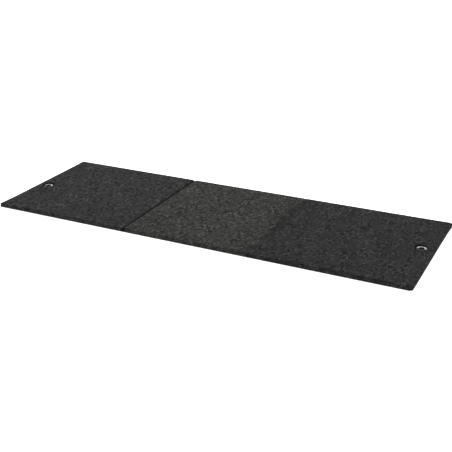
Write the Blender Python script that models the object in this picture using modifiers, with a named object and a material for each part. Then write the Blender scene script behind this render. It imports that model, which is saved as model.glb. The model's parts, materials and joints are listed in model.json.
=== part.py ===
"""Folding gym mat: three felt-covered foam panels on two folds, with a hanging eyelet at each end.

Metres, +Z up. The mat lies open and flat. X runs along it, Y across it, and the origin is on the floor
under its centre. It folds in a Z: the left fold's hinge line is in the bottom skin and its groove is
open at the top, so the left panel folds under. The right fold's hinge line is in the top skin and its
groove is open at the bottom, so the middle panel folds over the right one.
"""

import math
from collections import namedtuple

import bmesh
import bpy
from mathutils import Matrix, Vector

# The whole mat
LENGTH = 1.800
WIDTH = 0.600
THICKNESS = 0.020
MIDDLE_LENGTH = 0.545

# Gaps
GAP = 0.0003
FOLD_GAP = 0.0010
HINGE_OUTSIDE_SKIN = 0.0003
RUN_PAST = 0.020

# Cover, underside and core
FELT = 0.0015
LEFT_END_CORNER = 0.006
RIGHT_END_CORNER = 0.015
FOLD_CORNER = 0.008
TOP_EDGE = 0.0045
UNDERSIDE_INSET = 0.0025
CORNER_STEPS = 6
EDGE_STEPS = 4

# Woven strips bonded across the folds, inside the cover
STRIP_WIDTH = 0.050
STRIP_THICKNESS = 0.0008
STRIP_END_INSET = 0.016

# Eyelets, their washers and the patches that spread their load
LEFT_EYELET_FROM_END = 0.048
RIGHT_EYELET_FROM_END = 0.052
LEFT_EYELET_Y = -0.035
RIGHT_EYELET_Y = 0.020
BORE_RADIUS = 0.0110
BARREL_RADIUS = 0.0120
BARREL_HOLE_RADIUS = 0.0124
FLANGE_RADIUS = 0.0200
CROWN_RADIUS = 0.0135
CROWN_HEIGHT = 0.0016
FLANGE_RIM = 0.0003
WASHER_RADIUS = 0.0180
WASHER_THICKNESS = 0.0012
CURL_RADIUS = 0.0145
CURL_HEIGHT = 0.0008
PATCH_RADIUS = 0.0210
PATCH_THICKNESS = 0.0009
TURN_STEPS = 24

# The hollows that each eyelet pulls into the felt above, and its washer into the felt below
TOP_DIMPLE_DEPTH = 0.0060
BOTTOM_DIMPLE_DEPTH = 0.0030
DIMPLE_FLOOR_RADIUS = 0.0215
TOP_DIMPLE_RIM_RADIUS = 0.0265
BOTTOM_DIMPLE_RIM_RADIUS = 0.0320

# Worked out from the above
LEFT_FOLD_X = -MIDDLE_LENGTH / 2
RIGHT_FOLD_X = MIDDLE_LENGTH / 2
SKIN = FELT + GAP
STRIP_POCKET = STRIP_THICKNESS + GAP
LINING_TOP = THICKNESS - SKIN - STRIP_POCKET - GAP

END = "end"
BOTTOM_HINGED = "bottom_hinged"
TOP_HINGED = "top_hinged"

# A panel starts and stops along X, and each of those two sides is an end or one kind of fold.
Panel = namedtuple("Panel", "name start stop sides")
PANELS = (
    Panel("left", -LENGTH / 2, LEFT_FOLD_X - FOLD_GAP / 2, (END, BOTTOM_HINGED)),
    Panel("middle", LEFT_FOLD_X + FOLD_GAP / 2, RIGHT_FOLD_X - FOLD_GAP / 2, (BOTTOM_HINGED, TOP_HINGED)),
    Panel("right", RIGHT_FOLD_X + FOLD_GAP / 2, LENGTH / 2, (TOP_HINGED, END)),
)
EYELETS = {
    "left": (-LENGTH / 2 + LEFT_EYELET_FROM_END, LEFT_EYELET_Y),
    "right": (LENGTH / 2 - RIGHT_EYELET_FROM_END, RIGHT_EYELET_Y),
}


def clear_scene():
    for item in list(bpy.data.objects):
        bpy.data.objects.remove(item, do_unlink=True)


def make_collection(name):
    collection = bpy.data.collections.new(name)
    bpy.context.scene.collection.children.link(collection)
    return collection


def make_material(name, colour, roughness, metallic=0.0):
    material = bpy.data.materials.new(name)
    material.use_nodes = True
    shader = material.node_tree.nodes["Principled BSDF"]
    shader.inputs["Base Color"].default_value = (*colour, 1.0)
    shader.inputs["Roughness"].default_value = roughness
    shader.inputs["Metallic"].default_value = metallic
    return material


def make_object(name, shape, collection):
    """Turns a bmesh into an object in a collection. A cutter's object is drawn as wire."""
    mesh = bpy.data.meshes.new(name)
    bmesh.ops.recalc_face_normals(shape, faces=shape.faces)
    shape.to_mesh(mesh)
    shape.free()
    item = bpy.data.objects.new(name, mesh)
    collection.objects.link(item)
    if collection is cutters:
        item.display_type = "WIRE"
        item.hide_render = True
    return item


def box(name, low, high, collection):
    shape = bmesh.new()
    middle = (Vector(low) + Vector(high)) / 2
    size = Vector(high) - Vector(low)
    bmesh.ops.create_cube(shape, size=1.0, matrix=Matrix.Translation(middle) @ Matrix.Diagonal((*size, 1.0)))
    return make_object(name, shape, collection)


def rounded_slab(name, x_range, half_width, z_range, corner_radii, edge, collection):
    """A slab with upright corners of two radii, one at each X side, and a rounded top edge."""
    shape = bmesh.new()
    low = Vector((x_range[0], -half_width, z_range[0]))
    high = Vector((x_range[1], half_width, z_range[1]))
    size = high - low
    place = Matrix.Translation((low + high) / 2) @ Matrix.Diagonal((*size, 1.0))
    bmesh.ops.create_cube(shape, size=1.0, matrix=place)
    for side, radius in zip(x_range, corner_radii):
        upright = [
            line
            for line in shape.edges
            if all(abs(v.co.x - side) < 1e-6 for v in line.verts)
            and abs(line.verts[0].co.z - line.verts[1].co.z) > size.z / 2
        ]
        if radius > 0:
            bmesh.ops.bevel(
                shape, geom=upright, offset=radius, segments=CORNER_STEPS, profile=0.5, affect="EDGES"
            )
    if edge > 0:
        rim = [line for line in shape.edges if all(abs(v.co.z - high.z) < 1e-6 for v in line.verts)]
        bmesh.ops.bevel(shape, geom=rim, offset=edge, segments=EDGE_STEPS, profile=0.5, affect="EDGES")
    return make_object(name, shape, collection)


def cone(name, centre, z_range, radii):
    """A cutter: an upright frustum, or a cylinder where both radii are the same."""
    shape = bmesh.new()
    bmesh.ops.create_cone(
        shape,
        cap_ends=True,
        segments=TURN_STEPS,
        radius1=radii[0],
        radius2=radii[1],
        depth=z_range[1] - z_range[0],
        matrix=Matrix.Translation((*centre, sum(z_range) / 2)),
    )
    return make_object(name, shape, cutters)


def cut(item, *tools):
    for tool in tools:
        modifier = item.modifiers.new(tool.name, "BOOLEAN")
        modifier.operation = "DIFFERENCE"
        modifier.solver = "EXACT"
        modifier.object = tool


def quarter_arc(centre, radii, start_degrees, steps=3):
    """Points a quarter turn clockwise round an ellipse in the (radius, height) plane."""
    points = []
    for step in range(steps + 1):
        angle = math.radians(start_degrees - 90.0 * step / steps)
        points.append((centre[0] + radii[0] * math.cos(angle), centre[1] + radii[1] * math.sin(angle)))
    return points


def turned(name, profile, centre, material):
    """A ring about an upright axis. Its profile runs up the inside and down the outside."""
    mesh = bpy.data.meshes.new(name)
    count = len(profile)
    loop = [(step, (step + 1) % count) for step in range(count)]
    mesh.from_pydata([(radius, 0.0, height) for radius, height in profile], loop, [])
    item = bpy.data.objects.new(name, mesh)
    item.location = (*centre, 0.0)
    parts.objects.link(item)
    screw = item.modifiers.new("turn", "SCREW")
    screw.axis = "Z"
    screw.steps = TURN_STEPS
    screw.render_steps = TURN_STEPS
    screw.use_merge_vertices = True
    screw.merge_threshold = 0.00001
    screw.use_smooth_shade = True
    item.data.materials.append(material)
    return item


def reach(panel, beyond):
    """Where a shape starts and stops along X, when each kind of side stands that far beyond the panel's."""
    low_side, high_side = panel.sides
    return panel.start - beyond.get(low_side, 0.0), panel.stop + beyond.get(high_side, 0.0)


def corners(panel, inset):
    """The radii of the upright corners at each side, for a shape drawn in from the cover by inset."""
    end_corner = LEFT_END_CORNER if panel.name == "left" else RIGHT_END_CORNER
    return [(end_corner if side == END else FOLD_CORNER) - inset for side in panel.sides]


def top_dimple(name, centre, sink):
    """The hollow round an eyelet's flange, sunk further by a skin's thickness for the layers below."""
    floor = THICKNESS - TOP_DIMPLE_DEPTH - sink
    spread = 2 * TOP_DIMPLE_RIM_RADIUS - DIMPLE_FLOOR_RADIUS
    return cone(name, centre, (floor, floor + 2 * TOP_DIMPLE_DEPTH), (DIMPLE_FLOOR_RADIUS, spread))


def bottom_dimple(name, centre, lift):
    """The same hollow round a washer, pressed up into the underside."""
    roof = BOTTOM_DIMPLE_DEPTH + lift
    spread = 2 * BOTTOM_DIMPLE_RIM_RADIUS - DIMPLE_FLOOR_RADIUS
    return cone(name, centre, (roof - 2 * BOTTOM_DIMPLE_DEPTH, roof), (spread, DIMPLE_FLOOR_RADIUS))


def barrel_hole(name, centre):
    radii = (BARREL_HOLE_RADIUS, BARREL_HOLE_RADIUS)
    return cone(name, centre, (-RUN_PAST, THICKNESS + RUN_PAST), radii)


def strip_pockets():
    """The shallow rebates that hold the two strips: one in the panels' bottoms, one in their tops."""
    half_x = STRIP_WIDTH / 2 + GAP
    half_y = WIDTH / 2 - STRIP_END_INSET + GAP
    bottom = box(
        "left_strip_pocket",
        (LEFT_FOLD_X - half_x, -half_y, 0.0),
        (LEFT_FOLD_X + half_x, half_y, SKIN + STRIP_POCKET),
        cutters,
    )
    top = box(
        "right_strip_pocket",
        (RIGHT_FOLD_X - half_x, -half_y, THICKNESS - SKIN - STRIP_POCKET),
        (RIGHT_FOLD_X + half_x, half_y, THICKNESS),
        cutters,
    )
    return {BOTTOM_HINGED: bottom, TOP_HINGED: top}


def foam_core(panel, pockets):
    core = rounded_slab(
        f"{panel.name}_foam_core",
        (panel.start + SKIN, panel.stop - SKIN),
        WIDTH / 2 - SKIN,
        (SKIN, THICKNESS - SKIN),
        corners(panel, SKIN),
        TOP_EDGE - SKIN,
        parts,
    )
    for side, pocket in pockets.items():
        if side in panel.sides:
            cut(core, pocket)
    if panel.name in EYELETS:
        centre = EYELETS[panel.name]
        patch_floor = THICKNESS - TOP_DIMPLE_DEPTH - SKIN - PATCH_THICKNESS - GAP
        radii = (PATCH_RADIUS + GAP, PATCH_RADIUS + GAP)
        cut(
            core,
            top_dimple(f"{panel.name}_core_top_dimple", centre, SKIN),
            bottom_dimple(f"{panel.name}_core_bottom_dimple", centre, SKIN),
            cone(f"{panel.name}_patch_pocket", centre, (patch_floor, THICKNESS), radii),
            barrel_hole(f"{panel.name}_core_hole", centre),
        )
    core.data.materials.append(foam)
    return core


def top_cover(panel, pockets):
    """The felt over a panel's top and down its sides.

    It tucks down into a bottom-hinged fold's groove. Over a top-hinged fold it runs straight on, so there
    it is made too long and trimmed at the fold.
    """
    cover = rounded_slab(
        f"{panel.name}_top_cover",
        reach(panel, {TOP_HINGED: RUN_PAST}),
        WIDTH / 2,
        (SKIN, THICKNESS),
        corners(panel, 0.0),
        TOP_EDGE,
        parts,
    )
    inside = rounded_slab(
        f"{panel.name}_cover_inside",
        reach(panel, {END: -FELT, BOTTOM_HINGED: -FELT, TOP_HINGED: 2 * RUN_PAST}),
        WIDTH / 2 - FELT,
        (-RUN_PAST, THICKNESS - FELT),
        corners(panel, FELT),
        TOP_EDGE - FELT,
        cutters,
    )
    if panel.name in EYELETS:
        centre = EYELETS[panel.name]
        cut(inside, top_dimple(f"{panel.name}_cover_lower_dimple", centre, FELT))
        cut(
            cover,
            top_dimple(f"{panel.name}_cover_dimple", centre, 0.0),
            barrel_hole(f"{panel.name}_cover_hole", centre),
        )
    cut(cover, inside)
    if BOTTOM_HINGED in panel.sides:
        cut(cover, pockets[BOTTOM_HINGED])
    if TOP_HINGED in panel.sides:
        fold_end, away = (panel.start, -1) if panel.sides[0] == TOP_HINGED else (panel.stop, 1)
        x_low, x_high = sorted((fold_end, fold_end + away * 2 * RUN_PAST))
        cut(cover, box(f"{panel.name}_trim", (x_low, -WIDTH, 0.0), (x_high, WIDTH, 2 * RUN_PAST), cutters))
    cover.data.materials.append(top_felt)
    return cover


def underside(panel):
    """The flat felt beneath a panel. At a top-hinged fold it turns up and lines the groove's wall."""
    lined = TOP_HINGED in panel.sides
    radii = [
        0.0 if side == TOP_HINGED else radius
        for side, radius in zip(panel.sides, corners(panel, UNDERSIDE_INSET))
    ]
    sheet = rounded_slab(
        f"{panel.name}_underside",
        reach(panel, {END: -UNDERSIDE_INSET}),
        WIDTH / 2 - UNDERSIDE_INSET,
        (0.0, LINING_TOP if lined else FELT + BOTTOM_DIMPLE_DEPTH),
        radii,
        0.0,
        parts,
    )
    above_range = reach(panel, {END: RUN_PAST, BOTTOM_HINGED: RUN_PAST, TOP_HINGED: -FELT})
    above = box(
        f"{panel.name}_above_underside",
        (above_range[0], -WIDTH, FELT),
        (above_range[1], WIDTH, 2 * RUN_PAST),
        cutters,
    )
    if panel.name in EYELETS:
        centre = EYELETS[panel.name]
        cut(above, bottom_dimple(f"{panel.name}_underside_upper_dimple", centre, FELT))
        cut(
            sheet,
            bottom_dimple(f"{panel.name}_underside_dimple", centre, 0.0),
            barrel_hole(f"{panel.name}_underside_hole", centre),
        )
    cut(sheet, above)
    sheet.data.materials.append(under_felt)
    return sheet


def eyelet(name, centre):
    """A domed flange on a barrel that runs right through, its foot curled out below the washer."""
    seat = THICKNESS - TOP_DIMPLE_DEPTH + GAP
    brow = seat + FLANGE_RIM
    washer_bottom = BOTTOM_DIMPLE_DEPTH - GAP - WASHER_THICKNESS
    curl_top = washer_bottom - GAP
    curl_middle = (BORE_RADIUS + CURL_RADIUS) / 2
    half_curl = (CURL_RADIUS - BORE_RADIUS) / 2
    profile = quarter_arc((CROWN_RADIUS, brow), (CROWN_RADIUS - BORE_RADIUS, CROWN_HEIGHT), 180.0)
    profile += quarter_arc((CROWN_RADIUS, brow), (FLANGE_RADIUS - CROWN_RADIUS, CROWN_HEIGHT), 90.0)[1:]
    profile += [(FLANGE_RADIUS, seat), (BARREL_RADIUS, seat), (BARREL_RADIUS, curl_top)]
    profile += quarter_arc((curl_middle, curl_top), (half_curl, CURL_HEIGHT), 0.0)
    profile += quarter_arc((curl_middle, curl_top), (half_curl, CURL_HEIGHT), 270.0)[1:]
    return turned(name, profile, centre, eyelet_metal)


def washer(name, centre):
    top = BOTTOM_DIMPLE_DEPTH - GAP
    bottom = top - WASHER_THICKNESS
    edge = WASHER_THICKNESS / 2
    middle = (top + bottom) / 2
    profile = [(BARREL_HOLE_RADIUS, bottom), (BARREL_HOLE_RADIUS, top)]
    profile += quarter_arc((WASHER_RADIUS - edge, middle), (edge, edge), 90.0)
    profile += quarter_arc((WASHER_RADIUS - edge, middle), (edge, edge), 0.0)[1:]
    return turned(name, profile, centre, eyelet_metal)


def eyelet_patch(name, centre):
    top = THICKNESS - TOP_DIMPLE_DEPTH - SKIN
    bottom = top - PATCH_THICKNESS
    profile = [
        (BARREL_HOLE_RADIUS, bottom),
        (BARREL_HOLE_RADIUS, top),
        (PATCH_RADIUS, top),
        (PATCH_RADIUS, bottom),
    ]
    return turned(name, profile, centre, webbing)


def fold_strip(name, x, z_low):
    half_y = WIDTH / 2 - STRIP_END_INSET
    strip = box(
        name,
        (x - STRIP_WIDTH / 2, -half_y, z_low),
        (x + STRIP_WIDTH / 2, half_y, z_low + STRIP_THICKNESS),
        parts,
    )
    strip.data.materials.append(webbing)
    return strip


def hinge_axis(name, x, z, parent=None):
    """An empty on a fold's hinge line. It runs along Y, and everything beyond the fold hangs on it."""
    axis = bpy.data.objects.new(name, None)
    axis.empty_display_size = 0.05
    axis.location = (x, 0.0, z)
    parts.objects.link(axis)
    bpy.context.view_layer.update()
    if parent:
        hang(axis, parent)
    return axis


def hang(item, parent):
    item.parent = parent
    item.matrix_parent_inverse = parent.matrix_world.inverted()


clear_scene()
parts = make_collection("folding_gym_mat")
cutters = make_collection("cutters")

top_felt = make_material("top_felt", (0.045, 0.045, 0.044), 0.95)
under_felt = make_material("under_felt", (0.028, 0.028, 0.028), 0.95)
foam = make_material("foam", (0.035, 0.035, 0.037), 0.85)
webbing = make_material("webbing", (0.020, 0.020, 0.021), 0.90)
eyelet_metal = make_material("eyelet_metal", (0.50, 0.48, 0.44), 0.35, 1.0)

right_fold_axis = hinge_axis("right_fold_axis", RIGHT_FOLD_X, THICKNESS + HINGE_OUTSIDE_SKIN)
left_fold_axis = hinge_axis("left_fold_axis", LEFT_FOLD_X, -HINGE_OUTSIDE_SKIN, right_fold_axis)

fold_pockets = strip_pockets()
pieces = {
    panel.name: [foam_core(panel, fold_pockets), top_cover(panel, fold_pockets), underside(panel)]
    for panel in PANELS
}
for end, eyelet_centre in EYELETS.items():
    pieces[end] += [
        eyelet(f"{end}_eyelet", eyelet_centre),
        washer(f"{end}_eyelet_washer", eyelet_centre),
        eyelet_patch(f"{end}_eyelet_patch", eyelet_centre),
    ]
pieces["middle"] += [
    fold_strip("left_fold_strip", LEFT_FOLD_X, SKIN),
    fold_strip("right_fold_strip", RIGHT_FOLD_X, THICKNESS - SKIN - STRIP_THICKNESS),
]
for panel_name, carrier in {"left": left_fold_axis, "middle": right_fold_axis}.items():
    for piece in pieces[panel_name]:
        hang(piece, carrier)
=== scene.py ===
"""Looks of the folding gym mat: felt covers and undersides, foam, hinge tapes and eyelets.

Metres, +Z up, in the CAD's own frame. X runs along the mat, Y across it. The covers' upper face is one
surface, cover_level(), and the foam and the top hinge tape follow it from below.
"""

import json
import math

import bpy
import numpy as np
from mathutils import Matrix, Vector


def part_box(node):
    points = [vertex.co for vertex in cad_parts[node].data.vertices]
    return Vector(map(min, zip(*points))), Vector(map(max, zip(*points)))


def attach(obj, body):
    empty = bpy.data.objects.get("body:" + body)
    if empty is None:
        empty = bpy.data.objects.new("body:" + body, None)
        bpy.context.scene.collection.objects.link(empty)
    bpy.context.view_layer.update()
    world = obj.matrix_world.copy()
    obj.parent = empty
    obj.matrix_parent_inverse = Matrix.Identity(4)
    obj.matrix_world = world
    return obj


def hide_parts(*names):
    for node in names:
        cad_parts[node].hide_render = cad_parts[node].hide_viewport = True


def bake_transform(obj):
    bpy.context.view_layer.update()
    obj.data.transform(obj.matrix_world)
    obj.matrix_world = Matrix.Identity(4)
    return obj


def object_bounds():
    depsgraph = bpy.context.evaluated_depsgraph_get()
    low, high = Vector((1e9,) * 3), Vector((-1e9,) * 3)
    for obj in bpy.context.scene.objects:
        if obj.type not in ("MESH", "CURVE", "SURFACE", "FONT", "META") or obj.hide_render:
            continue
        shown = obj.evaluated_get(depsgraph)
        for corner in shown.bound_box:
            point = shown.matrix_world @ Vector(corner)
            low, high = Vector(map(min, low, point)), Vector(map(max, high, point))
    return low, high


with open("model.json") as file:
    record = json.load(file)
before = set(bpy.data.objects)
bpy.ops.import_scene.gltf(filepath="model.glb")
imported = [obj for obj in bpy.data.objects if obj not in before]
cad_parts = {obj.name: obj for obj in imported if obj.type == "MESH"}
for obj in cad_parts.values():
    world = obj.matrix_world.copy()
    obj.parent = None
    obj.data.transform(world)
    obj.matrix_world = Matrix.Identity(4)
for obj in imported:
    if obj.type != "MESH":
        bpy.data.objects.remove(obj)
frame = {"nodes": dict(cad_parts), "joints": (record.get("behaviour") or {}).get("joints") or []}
cad_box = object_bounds()

# Driving sizes, taken from the frame
LOW_X, HIGH_X = cad_box[0].x, cad_box[1].x
HALF_WIDTH = (cad_box[1].y - cad_box[0].y) / 2
THICKNESS = cad_box[1].z - cad_box[0].z
JOINTS = {joint["name"]: joint for joint in frame["joints"]}
LEFT_FOLD_X = JOINTS["left_fold"]["pos_m"][0]
RIGHT_FOLD_X = JOINTS["right_fold"]["pos_m"][0]
HALF_GAP = LEFT_FOLD_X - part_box("left_top_cover")[1].x
PATCH_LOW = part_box("left_eyelet_patch")[0].z
UNDER_HALF_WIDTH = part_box("left_underside")[1].y
UNDER_INSET = HALF_WIDTH - UNDER_HALF_WIDTH
LINING_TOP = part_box("right_underside")[1].z

# The felt's thickness, the clearance under it, and the outline that it follows
CREST = THICKNESS - 0.0003
FELT = 0.0013
CLEAR = 0.0003
LEFT_END_CORNER = 0.006
RIGHT_END_CORNER = 0.015
FOLD_CORNER = 0.008
TOP_ROUND = 0.0050
COVER_FOOT = 0.0019
FOOT_TUCK = 0.0012
SLIT_TOP = 0.0163
SLIT_REACH = 1.2 * HALF_GAP

# How finely the meshes are divided
STEP = 0.0047
ROUND_STEPS = 6
WALL_SHARES = (0.25, 0.5, 0.75, 1.0)
ARC_STEPS = 7
LINING_STEPS = 5
TURN_STEPS = 96
POLAR_HALF = 0.029
POLAR_RINGS = 15

# How the felt lies: lumps, the fall towards the sides and beside the open groove, and the soft valley
# over the top-hinged fold. Each kind of lump has a height, a size across and a seed.
LUMP_HEIGHT, LUMP_SIZE, LUMP_SEED = 0.00016, 0.013, 11
SWELL_HEIGHT, SWELL_SIZE, SWELL_SEED = 0.00012, 0.046, 12
UNDER_LUMP, UNDER_SIZE, UNDER_SEED = 0.00012, 0.014, 21
SIDE_LUMP, SIDE_SIZE, SIDE_SEED = 0.00022, 0.011, 31
LINING_LUMP, LINING_SIZE, LINING_SEED = 0.00006, 0.012, 32
SIDE_SKEW = 1.7
GROOVE_CALM = 0.3
CROWN_FALL, CROWN_REACH, CROWN_POWER = 0.0007, 0.022, 1.5
SHOULDER_FALL, SHOULDER_REACH, SHOULDER_POWER = 0.0014, 0.0060, 1.6
VALLEY_DEPTH, VALLEY_REACH, VALLEY_POWER = 0.0010, 0.0060, 1.6
VALLEY_WANDER, WANDER_SIZE, WANDER_SEED = 0.0012, 0.05, 13
VALLEY_MEAN, VALLEY_UNEVEN, UNEVEN_SIZE, UNEVEN_SEED = 0.8, 0.35, 0.028, 14
VALLEY_STATIONS = (0.0022, 0.0045, 0.0075, 0.011)

# How far the cover's corners stand out, by the signs of their x and y, and how much of it is across the mat
CORNER_EARS = {(-1, -1): 0.0060, (1, -1): 0.0, (-1, 1): 0.0020, (1, 1): 0.0045}
EAR_REACH = 0.045
EAR_ACROSS = 0.35

# The hollows round each eyelet above and its washer below
DIMPLE_FLOOR = 0.0140
DIMPLE_ROOF = 0.0030
TOP_FLOOR_RADIUS = 0.0206
TOP_RIM_RADIUS = 0.0268
BOTTOM_FLOOR_RADIUS = 0.0215
BOTTOM_RIM_RADIUS = 0.0330
PUCKERS = 11
PUCKER_HEIGHT = 0.00022
PUCKER_REACH = 0.006
PUCKER_SWAY = 1.5
HOLE_RADIUS = 0.0124

# The foam: its lower face, softened edges, bulging walls, and the room left for tapes and washers
FOAM_INSET = FELT + 2 * CLEAR
FOAM_LOW = 0.0018
FOAM_LEAST_CORNER = 0.001
FOAM_EDGE_FALL, FOAM_EDGE_REACH, FOAM_EDGE_POWER = 0.0026, 0.004, 1.5
FOAM_BULGE = 0.0004
FOAM_SHARES = (0.3, 0.6, 0.85)
TAPE_ROOM, TAPE_ROOM_REACH = 0.0012, 0.031
WASHER_ROOM_RIM, WASHER_ROOM_WIDTH = BOTTOM_RIM_RADIUS + 0.003, 0.010

# The hinge tapes: stations across, as shares of half the tape's width, and points along
TAPE_STATIONS = (1.0, 0.8, 0.6, 0.4, 0.2, 0.1)
TAPE_POINTS = 119

# Eyelets and washers
BORE_RADIUS = 0.0110
BARREL_RADIUS = 0.0120
CROWN_RADIUS = 0.0135
CURL_RADIUS = 0.0145
FLANGE_RIM = 0.0003
FLANGE_TAPER = 0.0001
WASHER_EASE = 0.0002

# Felt colours, from the left end, and how its clumps are shaded
TOP_TONES = [
    (LOW_X, (0.0324, 0.0324, 0.0326)),
    (LEFT_FOLD_X, (0.0412, 0.0407, 0.0384)),
    (RIGHT_FOLD_X, (0.0268, 0.0268, 0.0268)),
]
UNDER_TONES = [(LOW_X, (0.022, 0.022, 0.0228))]
TONE_BLUR = 0.0015
TOP_CONTRAST = 0.42
UNDER_CONTRAST = 0.35
FELT_GRAIN = (1.0, 0.6, 1.0)
BROAD_CLOUD_SCALE = 20.0
SMALL_CLOUD_SCALE = 46.0
CLUMP_AREA_SCALE = 34.0
CLUMP_SCALE = 92.0
TUFT_SCALE = 210.0
FLECK_SCALE = 120.0
FLECK_LIGHT = 0.8
# Painted shade: the felt is darker down the sides and in the open groove's crease
SIDE_SHADE = 0.75
CREASE_SHADE = 0.15
CREASE_NEAR, CREASE_FAR = 0.010, 0.014
CREASE_TOP, CREASE_DEEP = CREST - 0.0012, CREST - 0.0042
# Grime and painted shade together: darker felt round each eyelet hollow and in patches by the top-hinged
# fold
HOLLOW_GRIME_AND_SHADE = 0.5
HOLLOW_DARK_NEAR, HOLLOW_DARK_FAR = 0.024, 0.034
FOLD_GRIME_AND_SHADE = 0.50
FOLD_PATCH_NEAR, FOLD_PATCH_FAR = 0.004, 0.042
FOLD_PATCH_SCALE = 30.0

# Felt fibres: directions in degrees, length, width and share covered, then their colour and strength
DARK_FIBRES = ((12, 71, 128), 0.0042, 0.00042, 0.40)
LIGHT_FIBRES = ((38, 96, 160), 0.0036, 0.00034, 0.345)
WARM_FIBRES = ((55,), 0.0030, 0.00040, 0.30)
DARK_COLOUR, DARK_STRENGTH = (0.008, 0.008, 0.009), 0.55
LIGHT_COLOUR, LIGHT_STRENGTH = (0.12, 0.12, 0.118), 0.35
WARM_COLOUR, WARM_STRENGTH = (0.10, 0.068, 0.042), 0.4
CURL_SCALE, CURL_REACH = 110.0, 0.010

# How the felt's surface stands up, by its light and dark fibres and its mottle, and how it shines
RAISED_BY = (0.5, 0.35, 0.5)
FUZZ_SCALE = 900.0
FELT_BUMP = 0.0006
FELT_ROUGHNESS = (0.86, 0.98)
FELT_SHEEN = {
    "Sheen Weight": 0.03,
    "Sheen Roughness": 0.55,
    "Sheen Tint": (0.8, 0.8, 0.8, 1.0),
    "Specular IOR Level": 0.05,
}

# Metal: worn nickel over brass, grime in the low places, and painted shade on the front half of each flange
# and inside the barrel
NICKEL, BRASS = (0.95, 0.95, 0.93), (0.86, 0.87, 0.74)
METAL_GRIME, METAL_GRIME_SHARE = (0.20, 0.18, 0.14), 0.35
EYELET_SHADE_COLOUR, EYELET_SHADE_SHARE = (0.030, 0.027, 0.022), 0.95
EYELET_SHADE_FROM, EYELET_SHADE_TO = -0.004, 0.003
EYELET_SHADE_EASE = 0.0010
FLANGE_NEAR, FLANGE_FAR = 0.03, 0.04
WEAR_SCALE, METAL_GRIME_SCALE, SCRATCH_SCALE = 420.0, 170.0, 900.0
METAL_ROUGHNESS = (0.18, 0.34)
METAL_BUMP = 0.00008

# Foam and webbing
FOAM_CELL, FOAM_WALL = (0.05, 0.05, 0.052), (0.11, 0.11, 0.112)
CELL_SCALE = 1400.0
THREAD_LOW, THREAD_HIGH = (0.006, 0.006, 0.006), (0.024, 0.024, 0.025)
THREAD_SCALE = 260.0

# Camera: where it looks, from which side and how far away
LOOK_AT = Vector((0.0733, -0.0700, -0.0008))
DISTANCE = 3.277
AZIMUTH = math.radians(27.15)
ELEVATION = math.radians(23.87)
ROLL = math.radians(-0.93)
LENS = 64.28
SENSOR = 36.0

# Studio: the soft overhead light, the surroundings and the floor's own glow, which keeps it white
SUN_FROM = (-0.60, 0.45, 1.5)
SUN_STRENGTH = 2.9
SUN_WIDTH = math.radians(50)
BACK_GLOW = 1.15
FRONT_GLOW = 0.20
HIGH_GLOW = 0.45
FLOOR_GLOW = 1.00
FLOOR_SIDE = 30.0
FLOOR_DROP = 0.0005
DARK_DISC = 0.018


def eyelet_centre(side):
    """Where an eyelet's axis stands, from its box in the frame."""
    low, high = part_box(f"{side}_eyelet")
    return (low.x + high.x) / 2, (low.y + high.y) / 2


EYELETS = {side: eyelet_centre(side) for side in ("left", "right")}


# ---------------------------------------------------------------- shapes of the felt


def lattice_noise(x, y, size, seed):
    """Smooth noise from -1 to 1, with lumps about size metres across, the same on every run."""
    table = np.random.default_rng(seed).uniform(-1.0, 1.0, (256, 256))
    u, v = np.asarray(x) / size, np.asarray(y) / size
    i, j = np.floor(u).astype(int), np.floor(v).astype(int)
    a, b = u - i, v - j
    a, b = a * a * (3 - 2 * a), b * b * (3 - 2 * b)
    i, j, i2, j2 = i % 256, j % 256, (i + 1) % 256, (j + 1) % 256
    near = table[i, j] * (1 - a) + table[i2, j] * a
    far = table[i, j2] * (1 - a) + table[i2, j2] * a
    return near * (1 - b) + far * b


def smoothstep(value):
    """A smooth rise from 0 to 1 while the value goes from 0 to 1."""
    t = np.clip(value, 0.0, 1.0)
    return t * t * (3 - 2 * t)


def eyelet_polar(x, y, centre):
    """Distance and direction from an eyelet's axis."""
    dx, dy = x - centre[0], y - centre[1]
    return np.hypot(dx, dy), np.arctan2(dy, dx)


def with_ears(places):
    """Draws the cover's corners out, in place, as where its seams meet."""
    for (side_x, side_y), ear in CORNER_EARS.items():
        corner_x = LOW_X if side_x < 0 else HIGH_X
        far = np.hypot(places[:, 0] - corner_x, places[:, 1] - side_y * HALF_WIDTH)
        pull = ear * np.exp(-far / EAR_REACH)
        places[:, 0] += side_x * pull
        places[:, 1] += EAR_ACROSS * side_y * pull
    return places


def open_level(x, y):
    """The felt's upper face before the eyelets pull it down: lumps, a fall to the sides and the valley."""
    z = CREST + LUMP_HEIGHT * lattice_noise(x, y, LUMP_SIZE, LUMP_SEED)
    z = z + SWELL_HEIGHT * lattice_noise(x, y, SWELL_SIZE, SWELL_SEED)
    sides = [x - LOW_X, HIGH_X - x, HALF_WIDTH - np.abs(y), np.abs(x - LEFT_FOLD_X)]
    z -= CROWN_FALL * np.exp(-((np.maximum(np.minimum.reduce(sides), 0) / CROWN_REACH) ** CROWN_POWER))
    shoulder = np.maximum(np.abs(x - LEFT_FOLD_X) - TOP_ROUND, 0) / SHOULDER_REACH
    z -= SHOULDER_FALL * np.exp(-(shoulder**SHOULDER_POWER))
    across = x - RIGHT_FOLD_X + VALLEY_WANDER * lattice_noise(x * 0, y, WANDER_SIZE, WANDER_SEED)
    depth = VALLEY_DEPTH * (VALLEY_MEAN + VALLEY_UNEVEN * lattice_noise(x * 0, y, UNEVEN_SIZE, UNEVEN_SEED))
    return z - depth * np.exp(-np.abs(across / VALLEY_REACH) ** VALLEY_POWER)


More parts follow.
